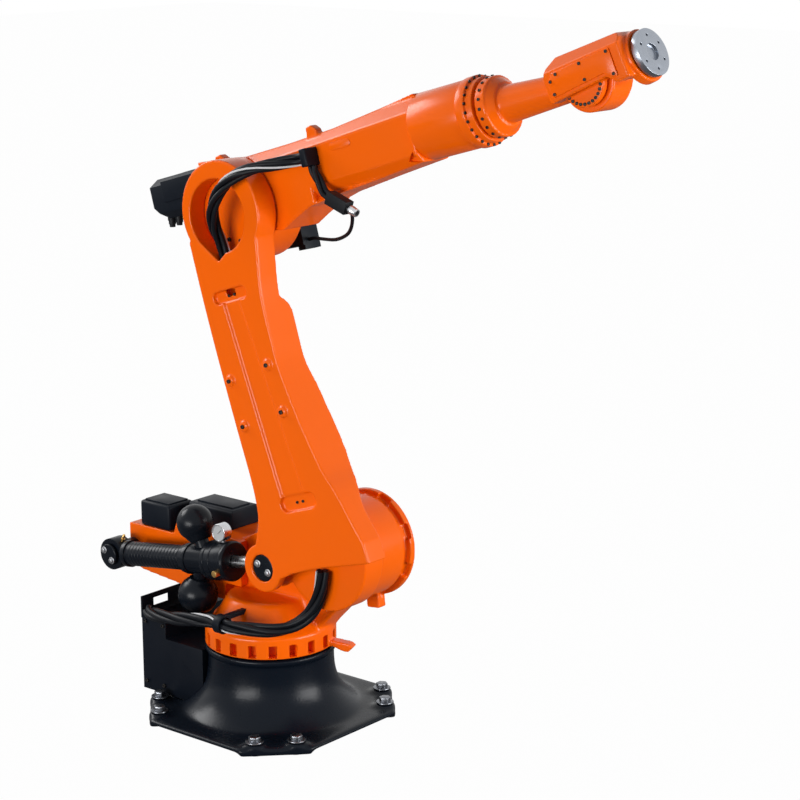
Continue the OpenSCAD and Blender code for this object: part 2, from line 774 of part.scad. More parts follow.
side_motor_y = motor_near + wrist_motor_w * 1.5 + 2;
module a4_motor() {
    color(black) at_elbow() difference() {
        wrist_motor(motor_near + wrist_motor_w / 2, 104, wrist_motor_w, 136, 293);
        hub_body();
    }
}
module a5_motor() {
    color(black) at_elbow() wrist_motor(side_motor_y, 140, wrist_motor_w, 84, 270);
}
module a6_motor() {
    color(black) at_elbow() difference() {
        wrist_motor(side_motor_y, 50, wrist_motor_w, 84, 270);
        hub_body();
    }
}
arm_clamp_at = [375.6, -116, 103];
module arm_cable_clamp() {
    color(black) at_elbow() difference() {
        translate(arm_clamp_at) block([-12, -28, -30], [14, 8 - arm_half - arm_clamp_at[1], 27]);
        slab(-arm_half, arm_half) arm_outline();
    }
}
module arm_cable_strip() {
    color(black) at_elbow() cable(strip_route, 17);
}
module arm_plug() {
    color(black) at_elbow() translate([418.5, -106, -29.7]) rotate([0, 20 + arm_rise, 0]) {
        block([0, -18, -24], [84, 18, 18]);
        bar_x(0, -3, 13, 83, 118);
    }
}
module arm_plug_lead() {
    color(black) at_elbow() cable(lead_route, 6, 2, 8);
}

// Wrist
roll_s = ext_end + ext_ring_l + ext_neck_l;
module wrist_tube() {
    flange_s = roll_s + run_gap;
    shoulder_s = flange_s + 36;
    root_s = shoulder_s + 22;
    color(orange) difference() {
        at_roll() {
            bar_x(0, 0, roll_pin_r, roll_s - roll_pin_l, flange_s + 1);
            bar_x(0, 0, roll_ring_r, flange_s, shoulder_s);
            cone_x(roll_ring_r - 5, tube_root_r + 10, shoulder_s - 1, root_s);
            cone_x(tube_root_r, tube_end_r, root_s - 1, arm_len - knuckle_r + 20);
            bar_y(arm_len, 0, knuckle_r, -knuckle_half, knuckle_half);
        }
        at_roll() bar_y(arm_len, 0, bend_pin_r + journal_gap, -knuckle_half - 1, knuckle_half + 1);
    }
}
hand_rear = -110;
hand_sole = -24;
bridge_s = 135;
bridge_t = -50;
flange_gap = 5;
hand_front = hand_len - flange_t - flange_gap;
hand_edge = 36;
drum_ring_r = 74;
drum_ring_y = 74;
nose_r = flange_r + 8;
nose_l = 30;
module hand_outline() {
    polygon([[hand_rear, hand_sole], [hand_rear, 46], [hand_rear + 12, 78], [hand_rear + 40, hand_top],
             [hand_front - 24, hand_top - 18], [hand_front - 12, hand_top - 34], [hand_front - 12, bridge_t],
             [bridge_s - 10, bridge_t], [bridge_s - 38, hand_sole]]);
}
module hand_block() {
    difference() {
        slab(-hand_half, hand_half) hand_outline();
        for (s = [-1, 1])
            translate([0, s * hand_half, hand_top - 4]) rotate([0, 2.8, 0]) rotate([45, 0, 0])
                block([-200, -hand_edge * 0.71, -hand_edge * 0.71], [260, hand_edge * 0.71, hand_edge * 0.71]);
    }
}
module hand_housing() {
    color(orange) at_hand() {
        difference() {
            union() {
                hand_block();
                bar_y(0, 0, drum_ring_r, -drum_ring_y, drum_ring_y);
                bar_x(0, 0, nose_r, hand_front - nose_l, hand_front);
            }
            block([-200, -cheek_in, -200], [bridge_s, cheek_in, 200]);
            bar_x(0, 0, flange_pin_r + journal_gap, hand_front - 24, hand_len);
        }
        bar_y(0, 0, bend_pin_r, -cheek_in - 1, cheek_in + 1);
    }
}
module hand_cover_outline() {
    polygon([[-92, -12], [-92, 36], [-72, 56], [138, 48], [138, -34], [118, -34], [96, -12]]);
}
module hand_near_cover() {
    color(orange) at_hand() slab(-hand_half - 5, -hand_half) hand_cover_outline();
}
module hand_far_cover() {
    color(orange) at_hand() slab(hand_half, hand_half + 5) hand_cover_outline();
}
flange_bolts = 6;
flange_pin_r = 40;
module tool_flange() {
    color("silver") at_hand() difference() {
        union() {
            bar_x(0, 0, flange_r, hand_len - flange_t, hand_len);
            bar_x(0, 0, flange_pin_r, hand_front - 22, hand_len - flange_t + 1);
        }
        bar_x(0, 0, flange_bore_r, hand_len - 10, hand_len + 1);
        for (k = [0 : flange_bolts - 1])
            rotate([60 * k, 0, 0]) bar_x(0, flange_pcd / 2, flange_bolt_r, hand_len - 16, hand_len + 1);
    }
}

base_casting();
base_connection_box();
base_cable_tray();
base_cable_bundle();
column_casting();
shoulder_far_ring();
motor_carrier();
a1_motor();
a2_motor();
counterbalance_pivot();
column_cable_clamp();
column_cable_bundle();
counterbalance_cylinder();
counterbalance_manifold();
upper_accumulator();
lower_accumulator();
counterbalance_gland();
pressure_gauge();
fill_valve();
counterbalance_rod();
link_arm_casting();
counterbalance_pin_cap();
elbow_cable_bundle();
arm_housing();
elbow_hub();
arm_extension();
extension_ring();
a3_motor();
a4_motor();
a5_motor();
a6_motor();
arm_cable_clamp();
arm_cable_strip();
arm_plug();
arm_plug_lead();
wrist_tube();
hand_housing();
hand_near_cover();
hand_far_cover();
tool_flange();
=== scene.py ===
import json
import math
import bpy
from mathutils import Matrix, Vector


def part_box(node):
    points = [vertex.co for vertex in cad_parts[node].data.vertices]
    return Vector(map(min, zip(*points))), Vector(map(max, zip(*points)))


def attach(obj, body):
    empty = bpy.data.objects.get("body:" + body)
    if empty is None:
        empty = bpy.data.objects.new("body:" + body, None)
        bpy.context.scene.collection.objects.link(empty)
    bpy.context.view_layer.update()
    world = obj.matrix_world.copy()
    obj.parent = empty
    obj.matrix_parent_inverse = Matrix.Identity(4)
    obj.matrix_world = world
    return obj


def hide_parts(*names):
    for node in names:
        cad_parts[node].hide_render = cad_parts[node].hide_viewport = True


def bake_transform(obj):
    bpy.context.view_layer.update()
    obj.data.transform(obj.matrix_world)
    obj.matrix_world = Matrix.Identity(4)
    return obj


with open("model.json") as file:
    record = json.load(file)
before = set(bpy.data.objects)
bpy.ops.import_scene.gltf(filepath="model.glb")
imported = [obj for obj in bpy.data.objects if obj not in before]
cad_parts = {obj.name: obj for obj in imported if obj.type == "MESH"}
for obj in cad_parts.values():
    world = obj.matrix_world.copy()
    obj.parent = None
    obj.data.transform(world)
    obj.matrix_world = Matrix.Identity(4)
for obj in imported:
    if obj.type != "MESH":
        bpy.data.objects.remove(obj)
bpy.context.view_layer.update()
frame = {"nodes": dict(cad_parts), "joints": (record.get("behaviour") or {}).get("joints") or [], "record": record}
nodes = frame["nodes"]
scene = bpy.context.scene
scene.view_settings.view_transform = "Standard"

# camera fitted to the photo
cameraSettings = {
    "place": (4.993, -5.215, 2.789),
    "target": (0.779, 0.0, 1.278),
    "lens": 100.9,
    "shift": (-0.063, -0.0305),
}


def addCamera(settings):
    data = bpy.data.cameras.new("photoCamera")
    camera = bpy.data.objects.new("photoCamera", data)
    scene.collection.objects.link(camera)
    camera.location = settings["place"]
    look = Vector(settings["target"]) - camera.location
    camera.rotation_euler = look.to_track_quat("-Z", "Y").to_euler()
    data.lens = settings["lens"]
    data.shift_x, data.shift_y = settings["shift"]
    data.clip_end = 100
    scene.camera = camera


addCamera(cameraSettings)
print("camera set")

# frames of the moving pieces, from the joints: X out along the piece, Y away from the camera
joints = {joint["name"]: joint for joint in frame["joints"]}
bodyOf = {n: body for body, members in frame["record"]["behaviour"]["bodies"].items() for n in members}
slotOf = {row["node"]: row["material_slot"] for row in frame["record"]["subparts"]}
sideways = Vector((0, 1, 0))


def frameAt(origin, along):
    x = Vector(along).normalized()
    turned = Matrix((x, sideways, x.cross(sideways))).transposed().to_4x4()
    return Matrix.Translation(Vector(origin)) @ turned


shoulder = Vector(joints["a2_shoulder"]["pos_m"])
elbow = Vector(joints["a3_elbow"]["pos_m"])
armAxis = Vector(joints["a4_roll"]["axis"])
handAxis = Vector(joints["a6_spin"]["axis"])
bendPlace = Vector(joints["a5_bend"]["pos_m"])
pivotPlace = Vector(joints["balance_swing"]["pos_m"])
rodAxis = Vector(joints["balance_slide"]["axis"])
floorFrame = Matrix.Identity(4)
linkFrame = frameAt(shoulder, sideways.cross(elbow - shoulder))
armFrame = frameAt(elbow, armAxis)
rollRise = (armFrame.inverted() @ bendPlace).z
rollFrame = armFrame @ Matrix.Translation((0, 0, rollRise))
handFrame = frameAt(bendPlace, handAxis)
balanceFrame = frameAt(pivotPlace, rodAxis)


def deselect():
    if bpy.context.object and bpy.context.object.mode != "OBJECT":
        bpy.ops.object.mode_set(mode="OBJECT")
    bpy.ops.object.select_all(action="DESELECT")


def activate(piece):
    deselect()
    piece.select_set(True)
    bpy.context.view_layer.objects.active = piece


def applyAll(piece):
    activate(piece)
    for modifier in list(piece.modifiers):
        bpy.ops.object.modifier_apply(modifier=modifier.name)


def joined(pieces, name):
    deselect()
    for piece in pieces:
        piece.select_set(True)
    bpy.context.view_layer.objects.active = pieces[0]
    if len(pieces) > 1:
        bpy.ops.object.join()
    whole = bpy.context.view_layer.objects.active
    whole.name = name
    return whole


def selectTop(piece):
    bpy.ops.object.mode_set(mode="EDIT")
    bpy.ops.mesh.select_mode(type="FACE")
    bpy.ops.mesh.select_all(action="DESELECT")
    bpy.ops.object.mode_set(mode="OBJECT")
    for face in piece.data.polygons:
        face.select = face.normal.z > 0.9
    bpy.ops.object.mode_set(mode="EDIT")


def bevelEdges(piece, width, segments, sharpest=30):
    edge = piece.modifiers.new("edge", "BEVEL")
    edge.width = width
    edge.segments = segments
    edge.limit_method = "ANGLE"
    edge.angle_limit = math.radians(sharpest)
    applyAll(piece)


# one function for every surface, all on object coordinates
def surface(name, color, rough, metal=0.0, gleam=0.5, grain=None, patch=None):
    material = bpy.data.materials.new(name)
    material.use_nodes = True
    tree = material.node_tree
    shader = tree.nodes["Principled BSDF"]
    shader.inputs["Base Color"].default_value = (*color, 1)
    shader.inputs["Roughness"].default_value = rough
    shader.inputs["Metallic"].default_value = metal
    shader.inputs["Specular IOR Level"].default_value = gleam
    coords = tree.nodes.new("ShaderNodeTexCoord")
    if patch:
        cloud = tree.nodes.new("ShaderNodeTexNoise")
        cloud.inputs["Scale"].default_value = patch["scale"]
        cloud.inputs["Detail"].default_value = 4
        tree.links.new(coords.outputs["Object"], cloud.inputs["Vector"])
        spread = tree.nodes.new("ShaderNodeMapRange")
        spread.inputs["From Min"].default_value = 0.3
        spread.inputs["From Max"].default_value = 0.7
        spread.inputs["To Min"].default_value = rough - patch["rough"]
        spread.inputs["To Max"].default_value = rough + patch["rough"]
        tree.links.new(cloud.outputs["Fac"], spread.inputs["Value"])
        tree.links.new(spread.outputs["Result"], shader.inputs["Roughness"])
        tint = tree.nodes.new("ShaderNodeMix")
        tint.data_type = "RGBA"
        tint.inputs["A"].default_value = (*color, 1)
        tint.inputs["B"].default_value = (*[c * patch["dark"] for c in color], 1)
        tree.links.new(cloud.outputs["Fac"], tint.inputs["Factor"])
        tree.links.new(tint.outputs["Result"], shader.inputs["Base Color"])
    if grain:
        speck = tree.nodes.new("ShaderNodeTexNoise")
        speck.inputs["Scale"].default_value = grain["scale"]
        speck.inputs["Detail"].default_value = 3
        tree.links.new(coords.outputs["Object"], speck.inputs["Vector"])
        bump = tree.nodes.new("ShaderNodeBump")
        bump.inputs["Strength"].default_value = grain["strength"]
        bump.inputs["Distance"].default_value = grain["depth"]
        tree.links.new(speck.outputs["Fac"], bump.inputs["Height"])
        tree.links.new(bump.outputs["Normal"], shader.inputs["Normal"])
    return material


satin = {"scale": 260, "strength": 0.05, "depth": 0.001}
sandCast = {"scale": 190, "strength": 0.28, "depth": 0.0015}
materials = {
    "orange_paint": surface("orangePaint", (0.88, 0.122, 0.0005), 0.22, gleam=0.2, grain=satin,
                            patch={"scale": 5, "rough": 0.05, "dark": 0.93}),
    "black_cast": surface("blackCasting", (0.0035, 0.006, 0.011), 0.25, gleam=0.13, grain=sandCast,
                          patch={"scale": 9, "rough": 0.05, "dark": 0.8}),
    "black_sheet": surface("blackSheet", (0.004, 0.006, 0.0105), 0.42, gleam=0.1, grain=satin,
                           patch={"scale": 12, "rough": 0.06, "dark": 0.85}),
    "motor_black": surface("motorBlack", (0.005, 0.0075, 0.0125), 0.42, gleam=0.1, grain=satin,
                           patch={"scale": 14, "rough": 0.06, "dark": 0.85}),
    "balance_black": surface("balanceBlack", (0.0045, 0.0065, 0.0105), 0.27, gleam=0.15, grain=satin,
                             patch={"scale": 12, "rough": 0.06, "dark": 0.85}),
    "cable_black": surface("cableSheath", (0.0045, 0.0055, 0.008), 0.42, gleam=0.14,
                           grain={"scale": 420, "strength": 0.2, "depth": 0.0008}),
    "plug_black": surface("plugPlastic", (0.006, 0.007, 0.009), 0.45, gleam=0.14, grain=satin),
    "steel": surface("groundSteel", (0.62, 0.63, 0.65), 0.28, metal=1.0,
                     patch={"scale": 60, "rough": 0.06, "dark": 0.9}),
    "brass": surface("brass", (0.75, 0.47, 0.16), 0.3, metal=1.0,
                     patch={"scale": 50, "rough": 0.08, "dark": 0.85}),
    "flange_metal": surface("machinedFlange", (0.36, 0.39, 0.44), 0.28, metal=1.0,
                            patch={"scale": 40, "rough": 0.07, "dark": 0.85}),
}
screwBlack = surface("screwBlack", (0.02, 0.018, 0.017), 0.4, metal=0.6)
screwSteel = surface("screwSteel", (0.45, 0.46, 0.48), 0.35, metal=1.0)
boltSteel = surface("boltSteel", (0.2, 0.21, 0.23), 0.3, metal=1.0,
                    patch={"scale": 70, "rough": 0.08, "dark": 0.7})
paleWire = surface("paleWire", (0.55, 0.56, 0.58), 0.5)
dialWhite = surface("dialWhite", (0.42, 0.43, 0.44), 0.35, gleam=0.2)
for node, piece in nodes.items():
    piece.data.materials.clear()
    piece.data.materials.append(materials[slotOf[node]])
print("materials made")


def dress(piece, body, slot, material=None, angle=32):
    piece.data.materials.clear()
    piece.data.materials.append(material or materials[slot])
    activate(piece)
    bpy.ops.object.shade_smooth_by_angle(angle=math.radians(angle))
    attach(piece, body)
    return piece


# cables: strands laid round the routes of the solids
def smoothRoute(points, steps):
    points = [Vector(p) for p in points]
    path = []
    for i in range(len(points) - 1):
        a, b = points[max(i - 1, 0)], points[i]
        c, d = points[i + 1], points[min(i + 2, len(points) - 1)]
        for k in range(steps):
            t = k / steps
            path.append(0.5 * (2 * b + (c - a) * t + (2 * a - 5 * b + 4 * c - d) * t ** 2
                               + (3 * b - a - 3 * c + d) * t ** 3))
    return path + [points[-1]]


def routeLength(path):
    return sum((b - a).length for a, b in zip(path, path[1:]))


def tubeAlong(path, radius, name):
    curve = bpy.data.curves.new(name, "CURVE")
    curve.dimensions = "3D"
    curve.bevel_depth = radius
    curve.bevel_resolution = 3
    curve.use_fill_caps = True
    spline = curve.splines.new("POLY")
    spline.points.add(len(path) - 1)
    for point, place in zip(spline.points, path):
        point.co = (*place, 1)
    tube = bpy.data.objects.new(name, curve)
    scene.collection.objects.link(tube)
    activate(tube)
    bpy.ops.object.convert(target="MESH")
    return bpy.context.object


def strandPath(path, radius, phase, turns):
    length = routeLength(path)
    side = sideways
    run = 0.0
    strand = []
    for i, place in enumerate(path):
        ahead = (path[min(i + 1, len(path) - 1)] - path[max(i - 1, 0)]).normalized()
        side = (side - ahead * side.dot(ahead)).normalized()
        over = ahead.cross(side)
        angle = phase + 2 * math.pi * turns * run / length
        strand.append(place + radius * (math.cos(angle) * side + math.sin(angle) * over))
        if i + 1 < len(path):
            run += (path[i + 1] - place).length
    return strand


bundle = {"diameter": 0.048, "steps": 36}
wideStrands = {"count": 4, "radius": 0.0098, "ring": 0.0136, "wire": 0.0036, "wireRing": 0.0198}
slimStrands = {"count": 4, "radius": 0.0088, "ring": 0.0124, "wire": 0.0034, "wireRing": 0.0182}


def cableBundle(node, route, strands, turns):
    path = smoothRoute(route, bundle["steps"] // (len(route) - 1))
    tubes = []
    for k in range(strands["count"]):
        phase = 2 * math.pi * k / strands["count"]
        tubes.append(tubeAlong(strandPath(path, strands["ring"], phase, turns), strands["radius"], "strand"))
        tubes[-1].data.materials.append(materials["cable_black"])
    phase = math.pi / strands["count"] + math.pi
    tubes.append(tubeAlong(strandPath(path, strands["wireRing"], phase, turns), strands["wire"], "wire"))
    tubes[-1].data.materials.append(paleWire)
    cables = joined(tubes, node + "_strands")
    bpy.ops.object.shade_smooth()
    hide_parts(node)
    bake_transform(cables)
    print("bundle", node, round(routeLength(path), 3))


def onArm(points):
    return [armFrame @ Vector(p) for p in points]


baseRoute = [(-0.372, -0.205, 0.330), (-0.330, -0.232, 0.337), (-0.260, -0.252, 0.347),
             (-0.170, -0.262, 0.361), (-0.080, -0.261, 0.375), (-0.028, -0.254, 0.382),
             (0.0076, -0.254, 0.382), (0.022, -0.254, 0.382)]
columnRoute = [(0.022, -0.254, 0.382), (0.0364, -0.254, 0.382), (0.072, -0.254, 0.382),
               (0.182, -0.206, 0.381), (0.240, -0.160, 0.393), (0.288, -0.130, 0.431),
               (0.322, -0.1195, 0.485), (0.342, -0.1195, 0.541), (0.348, -0.1195, 0.595)]
elbowRoute = [elbow + Vector(p) for p in [
    (0.023, -0.140, -0.231), (0.011, -0.140, -0.195), (-0.002, -0.142, -0.151), (-0.015, -0.154, -0.099),
    (-0.020, -0.176, -0.047), (-0.005, -0.200, 0.009), (0.031, -0.212, 0.067), (0.091, -0.216, 0.119),
    (0.165, -0.204, 0.157), (0.237, -0.160, 0.175), (0.287, -0.124, 0.188), (0.321, -0.120, 0.198)]]
stripRoute = onArm([(0.379, -0.108, 0.072), (0.379, -0.108, 0.054), (0.387, -0.107, 0.025),
                    (0.395, -0.106, -0.002), (0.403, -0.106, -0.018), (0.418, -0.106, -0.0293)])
leadRoute = onArm([(0.440, -0.0867, -0.050), (0.440, -0.075, -0.050), (0.434, -0.048, -0.062),
                   (0.418, -0.022, -0.086), (0.394, 0.0, -0.114), (0.362, 0.018, -0.140),
                   (0.320, 0.036, -0.155), (0.246, 0.066, -0.159), (0.162, 0.102, -0.147),
                   (0.094, 0.134, -0.136), (0.0632, 0.140, -0.135)])
cableBundle("base_cable_bundle", baseRoute, wideStrands, 0.8)
cableBundle("column_cable_bundle", columnRoute, wideStrands, 0.7)
cableBundle("elbow_cable_bundle", elbowRoute, slimStrands, 1.1)

# the flat strip of three cables is too short to count as a cord
stripStrands = {"count": 3, "radius": 0.0078, "ring": 0.0088, "turns": 0.3, "steps": 6}
stripPath = smoothRoute(stripRoute, stripStrands["steps"])
stripTubes = []
for k in range(stripStrands["count"]):
    phase = 2 * math.pi * k / stripStrands["count"]
    strandRoute = strandPath(stripPath, stripStrands["ring"], phase, stripStrands["turns"])
    stripTubes.append(tubeAlong(strandRoute, stripStrands["radius"], "strip"))
strip = dress(joined(stripTubes, "arm_cable_strip_strands"), "arm", "cable_black", angle=60)
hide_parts("arm_cable_strip")

# the lead hangs from the plug and goes behind the elbow
plugLead = {"diameter": 0.012, "steps": 3}
leadPath = smoothRoute(leadRoute, plugLead["steps"])
leadTube = tubeAlong(leadPath, plugLead["diameter"] / 2, "arm_plug_lead_sheath")
lead = dress(leadTube, "arm", "cable_black", angle=60)
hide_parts("arm_plug_lead")
print("cables made")


def copyOfNode(node, name):
    piece = bpy.data.objects.new(name, nodes[node].data.copy())
    scene.collection.objects.link(piece)
    activate(piece)
    bpy.ops.object.mode_set(mode="EDIT")
    bpy.ops.mesh.select_all(action="SELECT")
    bpy.ops.mesh.remove_doubles(threshold=0.00002)
    bpy.ops.object.mode_set(mode="OBJECT")
    return piece


def standing(place, along):
    return Matrix.Translation(Vector(place)) @ Vector(along).to_track_quat("Z", "Y").to_matrix().to_4x4()


# castings: the solid gets the soft fillets that a mould leaves
castings = {
    "base_casting": {"voxel": 0.0044, "passes": 10, "keep": 0.35,
                     "fillet": {"low": -0.012, "high": 0.13, "fade": 0.03, "passes": 60}},
    "column_casting": {"voxel": 0.003, "passes": 4, "keep": 0.3,
                       "fillet": {"low": 0.318, "high": 0.452, "fade": 0.035, "passes": 160}},
    "shoulder_far_ring": {"voxel": 0.003, "passes": 4, "keep": 0.35},
    "motor_carrier": {"voxel": 0.004, "passes": 7, "keep": 0.3},
    "link_arm_casting": {"voxel": 0.0034, "passes": 7, "keep": 0.35},
    "arm_housing": {"voxel": 0.0036, "passes": 6, "keep": 0.35},
    "elbow_hub": {"voxel": 0.0035, "passes": 5, "keep": 0.35},
    "wrist_tube": {"voxel": 0.0028, "passes": 5, "keep": 0.4},
    "hand_housing": {"voxel": 0.0026, "passes": 6, "keep": 0.4},
}


# a wide fillet between two heights, faded out at both
def softenBand(piece, fillet):
    group = piece.vertex_groups.new(name="fillet")
    for vertex in piece.data.vertices:
        inside = min(vertex.co.z - fillet["low"], fillet["high"] - vertex.co.z) / fillet["fade"]
        if inside > 0:
            group.add([vertex.index], min(inside, 1.0), "REPLACE")
    soften = piece.modifiers.new("fillet", "SMOOTH")
    soften.factor = 0.5
    soften.iterations = fillet["passes"]
    soften.vertex_group = group.name


def castPiece(node, settings):
    piece = copyOfNode(node, node + "_cast")
    remesh = piece.modifiers.new("remesh", "REMESH")
    remesh.mode = "VOXEL"
    remesh.voxel_size = settings["voxel"]
    if "fillet" in settings:
        applyAll(piece)
        softenBand(piece, settings["fillet"])
    soften = piece.modifiers.new("soften", "SMOOTH")
    soften.factor = 0.5
    soften.iterations = settings["passes"]
    thin = piece.modifiers.new("thin", "DECIMATE")
    thin.ratio = settings["keep"]
    applyAll(piece)
    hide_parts(node)
    dress(piece, bodyOf[node], slotOf[node], angle=60)
    print("cast", node, len(piece.data.polygons))


for node, settings in castings.items():
    castPiece(node, settings)


# pockets cut sharp into the finished castings
def cutAway(piece, cutter):
    cut = piece.modifiers.new("pocket", "BOOLEAN")
    cut.operation = "DIFFERENCE"
    cut.solver = "EXACT"
    cut.object = cutter
    applyAll(piece)
    bpy.data.objects.remove(cutter)


def triangleCutter(place, radius, depth):
    bpy.ops.mesh.primitive_cylinder_add(vertices=3, radius=radius, depth=depth)
    cutter = bpy.context.object
    bevelEdges(cutter, radius * 0.12, 3)
    cutter.data.transform(place)
    return cutter


skirtSlots = {"count": 20, "wide": 0.027, "low": 0.2635, "high": 0.3055, "inside": 0.186, "outside": 0.240}


def slotCutter(slots):
    boxes = []
    size = (slots["outside"] - slots["inside"], slots["wide"], slots["high"] - slots["low"])
    middle = ((slots["outside"] + slots["inside"]) / 2, 0, (slots["high"] + slots["low"]) / 2)
    for k in range(slots["count"]):
        bpy.ops.mesh.primitive_cube_add(size=1)
        box = bpy.context.object
        turn = Matrix.Rotation(2 * math.pi * (k + 0.5) / slots["count"], 4, "Z")
        box.data.transform(turn @ Matrix.Translation(middle) @ Matrix.Diagonal((*size, 1)))
        boxes.append(box)
    return joined(boxes, "slotCutter")


armPocket = {"place": (0.757, -0.084, 0.012), "facing": (0, -1, -0.35), "turn": -20,
             "radius": 0.026, "depth": 0.05}
pocketTurn = Matrix.Rotation(math.radians(armPocket["turn"]), 4, "Z")
pocketPlace = armFrame @ standing(armPocket["place"], armPocket["facing"]) @ pocketTurn
pocketCutter = triangleCutter(pocketPlace, armPocket["radius"], armPocket["depth"])
cutAway(scene.objects["arm_housing_cast"], pocketCutter)
cutAway(scene.objects["column_casting_cast"], slotCutter(skirtSlots))

# machined and sheet pieces: flat faces with a small broken edge
brokenEdges = {
    "base_connection_box": 0.007, "base_cable_tray": 0.0015,
    "a1_motor": 0.01, "a2_motor": 0.009, "a3_motor": 0.006,
    "counterbalance_pivot": 0.003, "column_cable_clamp": 0.002,
    "counterbalance_cylinder": 0.004, "counterbalance_manifold": 0.003,
    "upper_accumulator": 0.004, "lower_accumulator": 0.004, "counterbalance_gland": 0.006,
    "pressure_gauge": 0.003, "fill_valve": 0.0015,
    "counterbalance_rod": 0.002, "counterbalance_pin_cap": 0.004,
    "arm_extension": 0.003, "extension_ring": 0.003,
    "a4_motor": 0.009, "a5_motor": 0.009, "a6_motor": 0.009,
    "arm_cable_clamp": 0.004, "arm_plug": 0.005,
    "hand_near_cover": 0.002, "hand_far_cover": 0.002, "tool_flange": 0.0015,
}


def brokenEdgePiece(node, width):
    piece = copyOfNode(node, node + "_body")
    bpy.ops.object.mode_set(mode="EDIT")
    bpy.ops.mesh.select_all(action="SELECT")
    bpy.ops.mesh.dissolve_limited(angle_limit=math.radians(0.6))
    bpy.ops.object.mode_set(mode="OBJECT")
    bevelEdges(piece, width, 3, sharpest=32)
    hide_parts(node)
    dress(piece, bodyOf[node], slotOf[node], angle=34)


for node, width in brokenEdges.items():
    brokenEdgePiece(node, width)
print("machined pieces made")


# screws and bolts: modelled once, standing on z = 0, then copied to their places
def hexBolt(radius, height, washer):
    bpy.ops.mesh.primitive_cylinder_add(vertices=28, radius=washer, depth=height * 0.3,
                                        location=(0, 0, height * 0.15))
    disc = bpy.context.object
    bpy.ops.mesh.primitive_cylinder_add(vertices=6, radius=radius, depth=height,
                                        location=(0, 0, height * 0.75))
    head = bpy.context.object
    for piece, width in [(disc, height * 0.08), (head, height * 0.12)]:
        bevelEdges(piece, width, 2)
        piece.data.transform(piece.matrix_world)
        piece.matrix_world = Matrix.Identity(4)
    return joined([disc, head], "hexBolt")


def socketScrew(radius, height):
    bpy.ops.mesh.primitive_cylinder_add(vertices=20, radius=radius, depth=height,
                                        location=(0, 0, height * 0.5))
    head = bpy.context.object
    selectTop(head)
    bpy.ops.mesh.inset(thickness=radius * 0.42)
    bpy.ops.mesh.extrude_region_move(TRANSFORM_OT_translate={"value": (0, 0, -height * 0.6)})
    bpy.ops.object.mode_set(mode="OBJECT")
    bevelEdges(head, radius * 0.12, 2, sharpest=50)
    head.data.transform(head.matrix_world)
    head.matrix_world = Matrix.Identity(4)
    return head


def spread(template, within, places, name, body, slot, material):
    copies = []
    for place, along in places:
        copy = bpy.data.objects.new(name, template.data.copy())
        scene.collection.objects.link(copy)
        copy.data.transform(within @ standing(place, along))
        copies.append(copy)
    dress(joined(copies, name), body, slot, material)


def circlePlaces(count, radius, start=0.0, sweep=2 * math.pi):
    angles = [start + sweep * k / count for k in range(count)]
    return [(radius * math.cos(angle), radius * math.sin(angle)) for angle in angles]


def discard(*templates):
    for template in templates:
        bpy.data.objects.remove(template)


near = (0, -1, 0)
far = (0, 1, 0)
floorBolt = hexBolt(0.0205, 0.016, 0.03)
smallBolt = hexBolt(0.009, 0.007, 0.0125)
midScrew = socketScrew(0.007, 0.006)
smallScrew = socketScrew(0.0048, 0.004)

# base
footBolts = {"out": 0.379, "side": 0.068, "top": 0.0395}
places = []
for k in range(4):
    turn = math.radians(45 + 90 * k)
    for across in (-footBolts["side"], footBolts["side"]):
        x = footBolts["out"] * math.cos(turn) - across * math.sin(turn)
        y = footBolts["out"] * math.sin(turn) + across * math.cos(turn)
        places.append(((x, y, footBolts["top"]), (0, 0, 1)))
spread(floorBolt, floorFrame, places, "floor_bolts", "base", "black_cast", boltSteel)
boxLow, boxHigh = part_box("base_connection_box")
places = [((x, boxLow[1], z), near)
          for x in (boxLow[0] + 0.02, boxLow[0] + 0.104) for z in (boxLow[2] + 0.03, boxHigh[2] - 0.02)]
spread(midScrew, floorFrame, places, "box_screws", "base", "black_sheet", screwBlack)
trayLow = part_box("base_cable_tray")[0]
places = [((trayLow[0] + x, trayLow[1] + y, trayLow[2] + 0.0055), (0, 0, 1))
          for x in (0.06, 0.108) for y in (0.09, 0.33)]
spread(midScrew, floorFrame, places, "tray_screws", "base", "black_sheet", screwBlack)

# column
ringScrews = {"count": 16, "radius": 0.160, "face": 0.1515, "start": 0.1}
places = [((shoulder.x + x, ringScrews["face"], shoulder.z + z), far)
          for x, z in circlePlaces(ringScrews["count"], ringScrews["radius"], ringScrews["start"])]
spread(midScrew, floorFrame, places, "far_ring_screws", "column", "orange_paint", screwBlack)

# link arm: places are across the arm, then up it
linkFaces = {"pocket": -0.163, "boss": -0.1825, "pinCap": -0.171}
pocketScrews = [(-0.058, 0.890), (-0.032, 0.890), (0.016, 0.197), (0.042, 0.197)]
bossScrews = [(-0.134, 0.624), (-0.123, 0.471), (0.047, 0.645), (0.062, 0.489)]
pinCapBolts = [(-0.223, 0.026), (-0.187, -0.010)]
places = [((across, linkFaces["pocket"], up), near) for across, up in pocketScrews]
spread(smallScrew, linkFrame, places, "pocket_screws", "link_arm", "orange_paint", screwBlack)
places = [((across, linkFaces["boss"], up), near) for across, up in bossScrews]
spread(midScrew, linkFrame, places, "link_arm_screws", "link_arm", "orange_paint", screwBlack)
places = [((across, linkFaces["pinCap"], up), near) for across, up in pinCapBolts]
spread(smallBolt, linkFrame, places, "pin_cap_bolts", "link_arm", "balance_black", screwSteel)

# counterbalance: places are along the cylinder
eyeBolts = {"face": -0.0435, "places": [(-0.016, 0.018), (0.016, -0.018)]}
places = [((along, eyeBolts["face"], up), near) for along, up in eyeBolts["places"]]
spread(smallBolt, balanceFrame, places, "pivot_bolts", "column", "balance_black", screwSteel)


